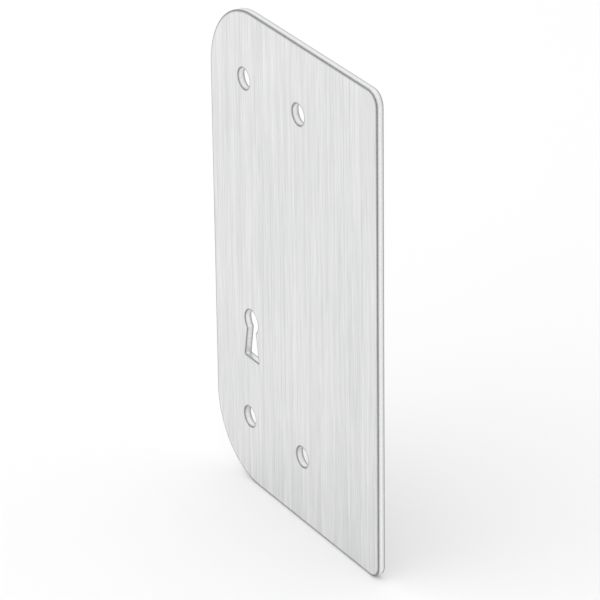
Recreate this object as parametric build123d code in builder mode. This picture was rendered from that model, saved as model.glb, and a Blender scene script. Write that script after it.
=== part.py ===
"""Deadlock anti-thrust plate.

One flat blank of steel sheet that is bolted upright to the face of a door,
over the lock. The left part lies on the door and carries the four bolt holes
and the keyhole. The plain right part reaches past the door's edge and covers
the gap in front of the lock's bolt.

Frame: +Z up along the plate's height, +X to the right as seen from in front,
front face towards -Y. The origin is the centre of the bolt-hole pattern, on the
back face, so the back face is the plane Y = 0.
"""

import os

from build123d import *

# ---------------------------------------------------------------- dimensions
plate_h = 170.0          # height of the blank
plate_w = 100.0          # width of the blank
plate_t = 2.5            # sheet thickness

corner_r_left = 26.0     # the two large corners, on the door side
corner_r_right = 5.0     # the two small corners, on the frame side

hole_d = 7.0             # plain bolt holes, clearance for M6
hole_spacing_x = 33.0    # between the two columns
hole_spacing_z = 122.0   # between the two rows, centred on the height
hole_edge_x = 21.0       # left edge to the first column

key_x_from_left = 23.0   # keyhole: centre of the round part from the left edge
key_z_from_bottom = 60.0 # keyhole: centre of the round part from the lower edge
key_round_d = 8.0        # round part, for the key's pin
key_neck_w = 5.0         # slot width where it leaves the round part
key_foot_w = 8.6         # slot width at its flat lower end
key_drop = 13.5          # centre of the round part to the slot's lower end
key_foot_r = 0.35        # punch radius in the two lower corners

front_round = 0.5        # rolled-over edge round the front outline
front_hole_round = 0.3   # rolled-over edge round the front of the openings
back_break = 0.2         # deburred edges on the back

# ------------------------------------------------------------ derived values
pattern_x = hole_edge_x + hole_spacing_x / 2    # origin from the left edge
pattern_z = plate_h / 2                         # origin from the lower edge
key_x = key_x_from_left - pattern_x
key_z = key_z_from_bottom - pattern_z
neck_z = -((key_round_d / 2) ** 2 - (key_neck_w / 2) ** 2) ** 0.5

os.makedirs("parts", exist_ok=True)

# --------------------------------------------------------------------- plate
with BuildPart() as plate:
    # Outline of the blank, drawn on the back face and raised to the front.
    with BuildSketch(Plane.XZ) as blank:
        with Locations((plate_w / 2 - pattern_x, 0)):
            Rectangle(plate_w, plate_h)
        fillet(blank.vertices().group_by(Axis.X)[0], radius=corner_r_left)
        fillet(blank.vertices().group_by(Axis.X)[-1], radius=corner_r_right)
    extrude(amount=plate_t)

    # Four plain bolt holes, straight through.
    with Locations(Plane.XZ.offset(plate_t)):
        with GridLocations(hole_spacing_x, hole_spacing_z, 2, 2):
            Hole(radius=hole_d / 2)

    # Keyhole: a round part over a slot that widens to a flat lower end.
    with BuildSketch(Plane.XZ) as keyhole:
        with Locations((key_x, key_z)):
            Polygon(
                (-key_neck_w / 2, neck_z),
                (-key_foot_w / 2, -key_drop),
                (key_foot_w / 2, -key_drop),
                (key_neck_w / 2, neck_z),
                align=None,
            )
        fillet(keyhole.vertices().group_by(Axis.Z)[0], radius=key_foot_r)
        with Locations((key_x, key_z)):
            Circle(key_round_d / 2)
    extrude(amount=plate_t, mode=Mode.SUBTRACT)

    # Edges: rolled over on the front by the blanking, deburred on the back.
    front = plate.faces().sort_by(Axis.Y)[0]
    fillet(front.outer_wire().edges(), radius=front_round)
    front = plate.faces().sort_by(Axis.Y)[0]
    fillet([e for w in front.inner_wires() for e in w.edges()], radius=front_hole_round)
    back = plate.faces().sort_by(Axis.Y)[-1]
    chamfer(back.edges(), length=back_break)

plate.part.label = "plate"
export_step(plate.part, "parts/plate.step")

solid = plate.part.solids()[0]
box = solid.bounding_box()
print("solids", len(plate.part.solids()), "volume mm3", round(solid.volume, 1))
print("box", box.min, box.max)
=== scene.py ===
import math

import bpy
import numpy as np
from mathutils import Matrix, Vector
from mathutils.geometry import delaunay_2d_cdt


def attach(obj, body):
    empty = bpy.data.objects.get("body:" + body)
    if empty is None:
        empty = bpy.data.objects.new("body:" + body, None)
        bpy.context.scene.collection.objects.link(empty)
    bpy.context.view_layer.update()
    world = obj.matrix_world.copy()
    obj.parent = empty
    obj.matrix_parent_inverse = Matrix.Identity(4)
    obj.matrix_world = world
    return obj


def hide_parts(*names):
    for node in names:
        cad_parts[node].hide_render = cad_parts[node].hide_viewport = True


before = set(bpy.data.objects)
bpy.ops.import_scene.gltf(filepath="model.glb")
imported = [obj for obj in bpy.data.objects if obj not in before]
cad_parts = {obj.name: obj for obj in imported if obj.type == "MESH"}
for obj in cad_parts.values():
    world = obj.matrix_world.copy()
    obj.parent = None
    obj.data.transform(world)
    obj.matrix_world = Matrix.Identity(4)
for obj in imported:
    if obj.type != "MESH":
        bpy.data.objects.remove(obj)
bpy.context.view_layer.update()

# ----------------------------------------------------------------------------
# Sizes of the plate in millimetres, in the CAD frame: X right, Z up, the back
# face on Y = 0 and the front face on Y = -THICK.
# ----------------------------------------------------------------------------
LEFT, RIGHT, LOW, HIGH = -37.5, 62.5, -85.0, 85.0
THICK = 2.5
R_LEFT, R_RIGHT = 26.0, 5.0
HOLE_R = 3.5
HOLES = [(-16.5, 61.0), (16.5, 61.0), (-16.5, -61.0), (16.5, -61.0)]
KEY_C = (-14.5, -25.0)
KEY_R, KEY_NECK, KEY_FOOT, KEY_DROP, KEY_CORNER = 4.0, 5.0, 8.6, 13.5, 0.35
ROUND_OUT, ROUND_IN, BREAK = 0.5, 0.3, 0.2


# ----------------------------------------------------------------------------
# Outlines. Each is a closed run of segments with the material on its left, as
# seen from the front. A segment gives its points at an inset d into the
# material, and the normals out of the material at those points.
# ----------------------------------------------------------------------------
class Line:
    def __init__(self, a, b, steps):
        self.a, self.b, self.steps = np.array(a, float), np.array(b, float), steps
        t = (self.b - self.a) / np.linalg.norm(self.b - self.a)
        self.t, self.n = t, np.array([t[1], -t[0]])
        self.trim = None

    def ends(self, d):
        return self.a - d * self.n, self.b - d * self.n

    def points(self, d):
        a, b = self.ends(d)
        if self.trim:
            a, b = self.trim(a, b, d)
        s = np.linspace(0, 1, self.steps + 1)[:, None]
        return a + (b - a) * s

    def normals(self):
        return np.repeat(self.n[None], self.steps + 1, 0)


class Arc:
    """bulge is +1 where the material is inside the arc and -1 where it is outside."""

    def __init__(self, c, r, a0, a1, steps, bulge, angles=None):
        self.c, self.r, self.a0, self.a1 = np.array(c, float), r, a0, a1
        self.steps, self.bulge, self.angles = steps, bulge, angles

    def points(self, d):
        a0, a1 = self.angles(d) if self.angles else (self.a0, self.a1)
        a = np.linspace(a0, a1, self.steps + 1)
        r = self.r - d * self.bulge
        return self.c + r * np.c_[np.cos(a), np.sin(a)]

    def normals(self):
        a = np.linspace(self.a0, self.a1, self.steps + 1)
        return self.bulge * np.c_[np.cos(a), np.sin(a)]


def blank_outline():
    q = math.pi / 2
    rl, rr = R_LEFT, R_RIGHT
    return [
        Line((RIGHT, LOW + rr), (RIGHT, HIGH - rr), 72),
        Arc((RIGHT - rr, HIGH - rr), rr, 0, q, 24, 1),
        Line((RIGHT - rr, HIGH), (LEFT + rl, HIGH), 32),
        Arc((LEFT + rl, HIGH - rl), rl, q, 2 * q, 56, 1),
        Line((LEFT, HIGH - rl), (LEFT, LOW + rl), 56),
        Arc((LEFT + rl, LOW + rl), rl, 2 * q, 3 * q, 56, 1),
        Line((LEFT + rl, LOW), (RIGHT - rr, LOW), 32),
        Arc((RIGHT - rr, LOW + rr), rr, 3 * q, 4 * q, 24, 1),
    ]


def hole_outline(c):
    return [Arc(c, HOLE_R, math.pi / 2, math.pi / 2 - 2 * math.pi, 72, -1)]


def key_outline():
    c = np.array(KEY_C)
    neck_z = -math.sqrt(KEY_R ** 2 - (KEY_NECK / 2) ** 2)
    neck = np.array([KEY_NECK / 2, neck_z])
    foot = np.array([KEY_FOOT / 2, -KEY_DROP])
    side = Line(neck, foot, 10)
    # centre of the small radius in the foot's corner, touching the side and the foot
    cz = -KEY_DROP + KEY_CORNER
    s = ((cz - neck[1]) - KEY_CORNER * side.n[1]) / side.t[1]
    corner = neck + s * side.t + KEY_CORNER * side.n
    touch = corner - KEY_CORNER * side.n
    turn0 = math.atan2(-side.n[1], -side.n[0])

    def on_circle(d):
        """Where the side, moved d into the material, meets the round part's larger circle."""
        p, r = neck - d * side.n, KEY_R + d
        b = p @ side.t
        roots = [-b + k * math.sqrt(b * b - p @ p + r * r) for k in (-1, 1)]
        return p + max(roots, key=lambda x: -abs(x)) * side.t

    def arc_ends(d):
        p = on_circle(d)
        a = math.atan2(p[1], p[0])
        return math.pi - a, a

    mirror = np.array([-1.0, 1.0])
    down = Line(c + neck, c + touch, 10)
    down.trim = lambda a, b, d: (c + on_circle(d), b)
    up = Line(c + touch * mirror, c + neck * mirror, 10)
    up.trim = lambda a, b, d: (a, c + on_circle(d) * mirror)
    a0, a1 = arc_ends(0.0)
    return [
        Arc(c, KEY_R, a0, a1, 64, -1, arc_ends),
        down,
        Arc(c + corner, KEY_CORNER, turn0, -math.pi / 2, 8, -1),
        Line(c + (corner[0], -KEY_DROP), c + (-corner[0], -KEY_DROP), 8),
        Arc(c + corner * mirror, KEY_CORNER, -math.pi / 2, -math.pi - turn0, 8, -1),
        up,
    ]


def profile(rounding):
    """Section through an edge, from the back face round to the front face: for each point its inset, its Y, its wall
    weight and its weight of painted edge shade, and for each span the section normal (outward, Y) at its two ends."""
    pts = [(BREAK + 2.6, 0.0), (BREAK + 1.2, 0.0), (BREAK + 0.4, 0.0), (BREAK + 0.06, 0.0), (BREAK, 0.0), (0.0, -BREAK)]
    spans = [((0, 1), (0, 1))] * 4 + [((0.7071, 0.7071), (0.7071, 0.7071))]
    wall_end = -(THICK - rounding)
    for k in range(1, 5):
        pts.append((0.0, -BREAK + (wall_end + BREAK) * k / 4))
        spans.append(((1, 0), (1, 0)))
    n = 9
    for k in range(1, n + 1):
        a, b = math.pi / 2 * (k - 1) / n, math.pi / 2 * k / n
        pts.append((rounding * (1 - math.cos(b)), wall_end - rounding * math.sin(b)))
        spans.append(((math.cos(a), -math.sin(a)), (math.cos(b), -math.sin(b))))
    for extra in (0.12, 0.4, 1.2, 2.6):
        pts.append((rounding + extra, -THICK))
        spans.append(((0, -1), (0, -1)))
    first_wall, last_wall = 5, 9
    wall, edge = [], []
    for k in range(len(pts)):
        if first_wall <= k <= last_wall:
            wall.append(1.0)
        elif last_wall < k <= last_wall + n:
            wall.append(max(0.0, 1 - (k - last_wall) / n))
        else:
            wall.append(0.0)
        # painted shade: these edge weights set where the dark line is painted on the back chamfer and the rounded front
        # edge
        if k in (4, 5):
            edge.append(0.95)
        elif last_wall <= k <= last_wall + n:
            t = (k - last_wall) / n
            edge.append(0.25 + 0.45 * t + (0.75 - 0.45 * t) * math.sin(math.pi * t))
        elif k == last_wall + n + 1:
            edge.append(0.55)
        else:
            edge.append(0.0)
    return pts, spans, wall, edge


# ----------------------------------------------------------------------------
# The plate's mesh: a strip of quads round every edge, from the back face over
# the deburred edge, the cut wall and the rolled front edge to the front face,
# and a fine triangulated sheet inside those strips on both faces.
# ----------------------------------------------------------------------------
MAP = 216.0          # millimetres across the unwrapped layout


class Sheet:
    def __init__(self):
        self.co, self.faces, self.normals, self.uv = [], [], [], []
        self.wall, self.edge = [], []
        self.front_loops, self.back_loops = [], []

    def add(self, p, wall):
        self.co.append(p)
        self.wall.append(wall)
        return len(self.co) - 1

    @staticmethod
    def face_uv(x, z, front):
        if front:
            return (3 + x - LEFT) / MAP, (3 + z - LOW) / MAP
        return (110 + RIGHT - x) / MAP, (3 + z - LOW) / MAP

    def strip(self, segments, rounding, row, u0):
        pts, spans, wall, edge = profile(rounding)
        rings = []
        for d, y in pts:
            run = np.vstack([s.points(d)[:-1] for s in segments])
            rings.append((run, y))
        count = len(rings[0][0])
        n0 = np.vstack([s.normals()[:-1] for s in segments])
        n1 = np.vstack([s.normals()[1:] for s in segments])
        ids = [
            [self.add((p[0], y, p[1]), wall[k]) for p in run]
            for k, (run, y) in enumerate(rings)
        ]
        base = np.vstack([s.points(0.0)[:-1] for s in segments])
        along = np.r_[0, np.cumsum(np.linalg.norm(np.roll(base, -1, 0) - base, axis=1))]
        up = np.r_[0, np.cumsum([math.hypot(b[0] - a[0], b[1] - a[1]) for a, b in zip(pts, pts[1:])])]
        for k, (s0, s1) in enumerate(spans):
            on_back = pts[k][1] == 0 and pts[k + 1][1] == 0
            on_front = pts[k][1] == -THICK and pts[k + 1][1] == -THICK
            for i in range(count):
                j = (i + 1) % count
                self.faces.append((ids[k][i], ids[k][j], ids[k + 1][j], ids[k + 1][i]))
                for s, n in ((s0, n0[i]), (s0, n1[i]), (s1, n1[i]), (s1, n0[i])):
                    self.normals.append((s[0] * n[0], s[1], s[0] * n[1]))
                # the painted edge shade ends sharply at the back face
                self.edge += [0.0] * 4 if on_back else [edge[k], edge[k], edge[k + 1], edge[k + 1]]
                if on_back or on_front:
                    for v in self.faces[-1]:
                        self.uv.append(self.face_uv(self.co[v][0], self.co[v][2], on_front))
                else:
                    lane = int((along[i] + along[i + 1]) / 2 // 172)
                    for a, h in ((along[i], up[k]), (along[i + 1], up[k]), (along[i + 1], up[k + 1]), (along[i], up[k + 1])):
                        self.uv.append(((3 + u0 + a - 172 * lane) / MAP, (row + 7.5 * lane + 2 * (h - up[4])) / MAP))
        self.back_loops.append(ids[0])
        self.front_loops.append(ids[-1])

    def fill(self, loops, y, front):
        """A triangulated sheet between the loops' innermost rings."""
        flat = [[np.array([self.co[v][0], self.co[v][2]]) for v in loop] for loop in loops]
        verts, owners, edges = [], [], []
        for loop, run in zip(loops, flat):
            start = len(verts)
            verts += [Vector(p) for p in run]
            owners += loop
            edges += [(start + i, start + (i + 1) % len(run)) for i in range(len(run))]
        step, rows = 2.6, []
        z = LOW
        shift = 0
        while z < HIGH:
            x = LEFT + (step / 2 if shift else 0)
            while x < RIGHT:
                rows.append((x, z))
                x += step
            z += step * 0.866
            shift = 1 - shift
        grid = np.array(rows)
        inside = in_loop(grid, flat[0])
        for run in flat[1:]:
            inside &= ~in_loop(grid, run)
        everything = np.vstack([np.array(run) for run in flat])
        for p in grid[inside]:
            if np.min(np.sum((everything - p) ** 2, axis=1)) > 1.7 ** 2:
                verts.append(Vector(p))
                owners.append(self.add((p[0], y, p[1]), 0.0))
        out, _, tris, origin, _, _ = delaunay_2d_cdt(verts, edges, [], 0, 1e-6)
        ids = [owners[o[0]] for o in origin]
        middle = np.array([[sum(out[v][k] for v in t) / 3 for k in (0, 1)] for t in tris])
        keep = in_loop(middle, flat[0])
        for run in flat[1:]:
            keep &= ~in_loop(middle, run)
        for t, yes in zip(tris, keep):
            if not yes:
                continue
            a, b, c = (out[v] for v in t)
            turn = (b[0] - a[0]) * (c[1] - a[1]) - (b[1] - a[1]) * (c[0] - a[0])
            t = list(t) if (turn > 0) == front else list(t)[::-1]
            self.faces.append(tuple(ids[v] for v in t))
            for v in t:
                self.normals.append((0, -1 if front else 1, 0))
                self.edge.append(0.0)
                self.uv.append(self.face_uv(out[v][0], out[v][1], front))


def in_loop(p, run):
    """Which of the points p lie inside a closed run."""
    run = np.asarray(run)
    a, b = run, np.roll(run, -1, 0)
    x, y = p[:, 0, None], p[:, 1, None]
    cross = (a[:, 1] > y) != (b[:, 1] > y)
    with np.errstate(divide="ignore", invalid="ignore"):
        at = a[:, 0] + (y - a[:, 1]) / (b[:, 1] - a[:, 1]) * (b[:, 0] - a[:, 0])
    return (np.sum(cross & (x < at), axis=1) % 2).astype(bool)


def build_plate():
    sheet = Sheet()
    sheet.strip(blank_outline(), ROUND_OUT, 178, 0)
    for k, c in enumerate(HOLES):
        sheet.strip(hole_outline(c), ROUND_IN, 201, 25 * k)
    sheet.strip(key_outline(), ROUND_IN, 201, 110)
    sheet.fill(sheet.front_loops, -THICK, True)
    sheet.fill(sheet.back_loops, 0.0, False)
    mesh = bpy.data.meshes.new("anti_thrust_plate")
    mesh.from_pydata([(x / 1000, y / 1000, z / 1000) for x, y, z in sheet.co], [], sheet.faces)
    for name in ("OFBake", "Grain"):
        layer = mesh.uv_layers.new(name=name)
        layer.data.foreach_set("uv", np.array(sheet.uv, np.float32).ravel())
    # the edge attribute carries the weight of the painted edge shade
    for name, where, values in (("wall", "POINT", sheet.wall), ("edge", "CORNER", sheet.edge)):
        mesh.attributes.new(name, "FLOAT", where).data.foreach_set("value", np.array(values, np.float32))
    mesh.polygons.foreach_set("use_smooth", [True] * len(mesh.polygons))
    mesh.normals_split_custom_set([Vector(n).normalized() for n in sheet.normals])
    mesh.update()
    plate = bpy.data.objects.new("anti_thrust_plate", mesh)
    bpy.context.scene.collection.objects.link(plate)
    return plate


# ----------------------------------------------------------------------------
# Node helpers
# ----------------------------------------------------------------------------
class Nodes:
    def __init__(self, tree):
        self.tree = tree
        tree.nodes.clear()

    def new(self, kind, inputs=None, **settings):
        n = self.tree.nodes.new(kind)
        for k, v in settings.items():
            setattr(n, k, v)
        for k, v in (inputs or {}).items():
            self.put(n, k, v)
        return n

    def put(self, node, key, value):
        socket = node.inputs[key]
        if isinstance(value, bpy.types.NodeSocket):
            self.tree.links.new(value, socket)
        else:
            socket.default_value = value

    def math(self, op, a, b=None, c=None, clamp=False):
        n = self.new("ShaderNodeMath", operation=op, use_clamp=clamp)
        for i, v in enumerate((a, b, c)):
            if v is not None:
                self.put(n, i, v)
        return n.outputs[0]

    def mix(self, factor, a, b, blend="MIX"):
        n = self.new("ShaderNodeMix", data_type="RGBA", blend_type=blend)
        self.put(n, 0, factor)
        self.put(n, 6, a)
        self.put(n, 7, b)
        return n.outputs[2]

    def blend(self, factor, a, b):
        n = self.new("ShaderNodeMix", data_type="FLOAT")
        self.put(n, 0, factor)
        self.put(n, 2, a)
        self.put(n, 3, b)
        return n.outputs[0]

    def span(self, value, a0, a1, b0, b1, smooth=False):
        n = self.new("ShaderNodeMapRange", interpolation_type="SMOOTHSTEP" if smooth else "LINEAR")
        for i, v in enumerate((value, a0, a1, b0, b1)):
            self.put(n, i, v)
        return n.outputs[0]

    def noise(self, at, scale, detail=2.0, rough=0.5, shift=(0, 0, 0)):
        """Noise whose features are 1/scale metres long along X, Y and Z."""
        m = self.new("ShaderNodeMapping", {"Vector": at, "Scale": scale, "Location": shift})
        n = self.new("ShaderNodeTexNoise", {"Vector": m.outputs[0], "Scale": 1.0, "Detail": detail, "Roughness": rough})
        return n.outputs[0]


def satin_steel():
    """Steel sheet with a fine belt-ground grain up the plate, and sheared walls with striations across their thickness."""
    mat = bpy.data.materials.new("satin_steel")
    mat.use_nodes = True
    g = Nodes(mat.node_tree)
    at = g.new("ShaderNodeTexCoord").outputs["Object"]
    wall = g.new("ShaderNodeAttribute", attribute_name="wall").outputs["Fac"]
    edge = g.new("ShaderNodeAttribute", attribute_name="edge").outputs["Fac"]

    # belt grain: streaks of three widths, all running up the plate
    fine = g.noise(at, (6000, 900, 90), 2, 0.55)
    mid = g.noise(at, (2000, 600, 34), 3, 0.6, (3.1, 0, 1.7))
    broad = g.noise(at, (420, 150, 9), 2, 0.5, (7.7, 0, 0.3))
    cloud = g.noise(at, (22, 22, 14), 3, 0.55, (1.3, 2.1, 4.4))
    # a few deeper strokes left by coarse grit
    stroke = g.span(g.noise(at, (1900, 600, 9), 1, 0.4, (11.0, 0, 5.0)), 0.64, 0.72, 0.0, 1.0, True)
    # shear marks across the thickness on the cut walls
    shear = g.noise(at, (5200, 320, 5200), 2, 0.55, (0, 5.0, 0))
    pits = g.noise(at, (2600, 2600, 2600), 3, 0.6, (2.0, 8.0, 3.0))
    tear = g.noise(at, (9000, 6000, 9000), 3, 0.65, (4.0, 2.0, 6.0))
    # the wall is burnished by the die next to the front and torn next to the back, with an uneven line between
    depth = g.new("ShaderNodeSeparateXYZ", {"Vector": at}).outputs["Y"]
    ragged = g.math("MULTIPLY_ADD", g.noise(at, (420, 0, 420), 3, 0.6, (9.0, 0, 2.0)), 0.0009, -0.00155)
    torn = g.span(g.math("SUBTRACT", depth, ragged), -0.00012, 0.00012, 0.0, 1.0, True)

    # colour
    tone = g.math("ADD", g.math("MULTIPLY", fine, 0.38), g.math("ADD", g.math("MULTIPLY", mid, 0.42), g.math("MULTIPLY", broad, 0.20)))
    face_dark, face_light = (0.62, 0.625, 0.63, 1), (0.93, 0.93, 0.923, 1)
    face = g.mix(g.span(tone, 0.30, 0.70, 0.0, 1.0), face_dark, face_light)
    face = g.mix(g.math("MULTIPLY", stroke, 0.30), face, (0.48, 0.485, 0.49, 1))
    face = g.mix(g.span(cloud, 0.35, 0.7, 0.0, 0.16), face, (0.62, 0.63, 0.645, 1))
    cut = g.mix(g.span(shear, 0.3, 0.7, 0.0, 1.0), (0.85, 0.85, 0.85, 1), (0.93, 0.93, 0.925, 1))
    rip = g.mix(g.span(tear, 0.3, 0.7, 0.0, 1.0), (0.72, 0.72, 0.725, 1), (0.87, 0.87, 0.865, 1))
    cut = g.mix(torn, cut, rip)
    colour = g.mix(wall, face, cut)
    # painted shade: a dark line on the rounded front edge and the deburred back edge, standing in for their dark
    # reflection, lighter in places where the pits noise breaks it up
    painted_edge_shade = g.math("MULTIPLY", edge, g.span(pits, 0.35, 0.65, 1.0, 0.74))
    colour = g.mix(painted_edge_shade, colour, (0.17, 0.172, 0.176, 1))

    # roughness
    rough = g.blend(g.span(tone, 0.3, 0.7, 0, 1), 0.40, 0.30)
    rough = g.math("ADD", rough, g.span(cloud, 0.3, 0.7, -0.03, 0.05))
    sides = g.blend(torn, g.span(shear, 0.3, 0.7, 0.36, 0.26), g.span(tear, 0.3, 0.7, 0.56, 0.42))
    rough = g.blend(wall, rough, sides)
    rough = g.math("ADD", rough, g.math("MULTIPLY", painted_edge_shade, 0.08))

    # relief
    grain = g.math("ADD", g.math("MULTIPLY", fine, 0.5), g.math("ADD", g.math("MULTIPLY", mid, 0.6), g.math("MULTIPLY", stroke, -0.45)))
    marks = g.blend(torn, g.math("MULTIPLY", shear, 1.1), g.math("MULTIPLY", tear, 1.6))
    height = g.blend(wall, grain, marks)
    bump = g.new("ShaderNodeBump", {"Strength": 0.6, "Distance": 0.00005, "Height": height})
    # the sheet isn't optically flat: long, very low waves
    wave = g.noise(at, (26, 26, 16), 1, 0.4, (4.0, 1.0, 9.0))
    bump2 = g.new("ShaderNodeBump", {"Strength": 0.5, "Distance": 0.0012, "Height": wave, "Normal": bump.outputs[0]})

    tangent = g.new("ShaderNodeTangent", direction_type="UV_MAP", uv_map="Grain")
    steel = g.new("ShaderNodeBsdfPrincipled", {
        "Base Color": colour, "Metallic": 1.0, "Roughness": rough, "IOR": 2.5,
        "Anisotropic": 0.45, "Normal": bump2.outputs[0], "Tangent": tangent.outputs[0],
    })
    out = g.new("ShaderNodeOutputMaterial")
    mat.node_tree.links.new(steel.outputs[0], out.inputs["Surface"])
    return mat


def pale_floor():
    mat = bpy.data.materials.new("pale_floor")
    mat.use_nodes = True
    g = Nodes(mat.node_tree)
    at = g.new("ShaderNodeTexCoord").outputs["Object"]
    tone = g.noise(at, (3, 3, 3), 2, 0.5)
    colour = g.mix(g.span(tone, 0.3, 0.7, 0.0, 1.0), (0.86, 0.86, 0.86, 1), (0.88, 0.88, 0.88, 1))
    paint = g.new("ShaderNodeBsdfPrincipled", {"Base Color": colour, "Roughness": 0.9, "Specular IOR Level": 0.2})
    out = g.new("ShaderNodeOutputMaterial")
    mat.node_tree.links.new(paint.outputs[0], out.inputs["Surface"])
    return mat


# ----------------------------------------------------------------------------
# The plate
# ----------------------------------------------------------------------------
plate = build_plate()
plate.data.materials.append(satin_steel())
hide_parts("plate")
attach(plate, "root")

# ----------------------------------------------------------------------------
# Stage: a pale floor that the plate stands on
# ----------------------------------------------------------------------------
floor_mesh = bpy.data.meshes.new("floor")
half = 12.0
floor_z = LOW / 1000
floor_mesh.from_pydata(
    [(-half, -half, floor_z), (half, -half, floor_z), (half, half, floor_z), (-half, half, floor_z)],
    [], [(0, 1, 2, 3)],
)
floor = bpy.data.objects.new("floor", floor_mesh)
bpy.context.scene.collection.objects.link(floor)
floor_mesh.materials.append(pale_floor())

# ----------------------------------------------------------------------------
# Soft studio light
# ----------------------------------------------------------------------------
scene = bpy.context.scene
world = bpy.data.worlds.new("studio")
scene.world = world
world.use_nodes = True
w = Nodes(world.node_tree)
dome = w.new("ShaderNodeTexCoord").outputs["Generated"]
height = w.new("ShaderNodeSeparateXYZ", {"Vector": dome}).outputs["Z"]
sky = w.new("ShaderNodeBackground", {"Color": (1, 1, 1, 1), "Strength": w.span(height, 0.02, 0.50, 0.84, 0.95, True)})
wo = w.new("ShaderNodeOutputWorld")
world.node_tree.links.new(sky.outputs[0], wo.inputs["Surface"])


def softbox(name, at, target, size, power):
    lamp = bpy.data.lights.new(name, "AREA")
    lamp.shape = "RECTANGLE"
    lamp.size, lamp.size_y = size
    lamp.energy = power
    o = bpy.data.objects.new(name, lamp)
    scene.collection.objects.link(o)
    o.location = at
    o.rotation_euler = (Vector(target) - Vector(at)).to_track_quat("-Z", "Y").to_euler()
    o.visible_camera = False
    return o


softbox("key", (-0.55, -0.75, 1.95), (0, 0, -0.05), (3.0, 3.0), 18.5)

# ----------------------------------------------------------------------------
# Camera at the picture's viewing angle
# ----------------------------------------------------------------------------
cam = bpy.data.cameras.new("camera")
cam.sensor_width = 36.0
cam.lens = 253.651
cam.clip_start, cam.clip_end = 0.05, 60.0
camera = bpy.data.objects.new("camera", cam)
scene.collection.objects.link(camera)
right = Vector((0.523022, 0.852241, -0.011510))
down = Vector((0.379544, -0.244976, -0.892151))
ahead = Vector((-0.763148, 0.462245, -0.451591))
turn = Matrix((right, -down, -ahead)).transposed()
camera.matrix_world = Matrix.Translation((1.044746, -0.625428, 0.604681)) @ turn.to_4x4()
scene.camera = camera

scene.view_settings.view_transform = "Standard"
scene.view_settings.look = "None"
scene.view_settings.exposure = 0.0
scene.view_settings.gamma = 1.0
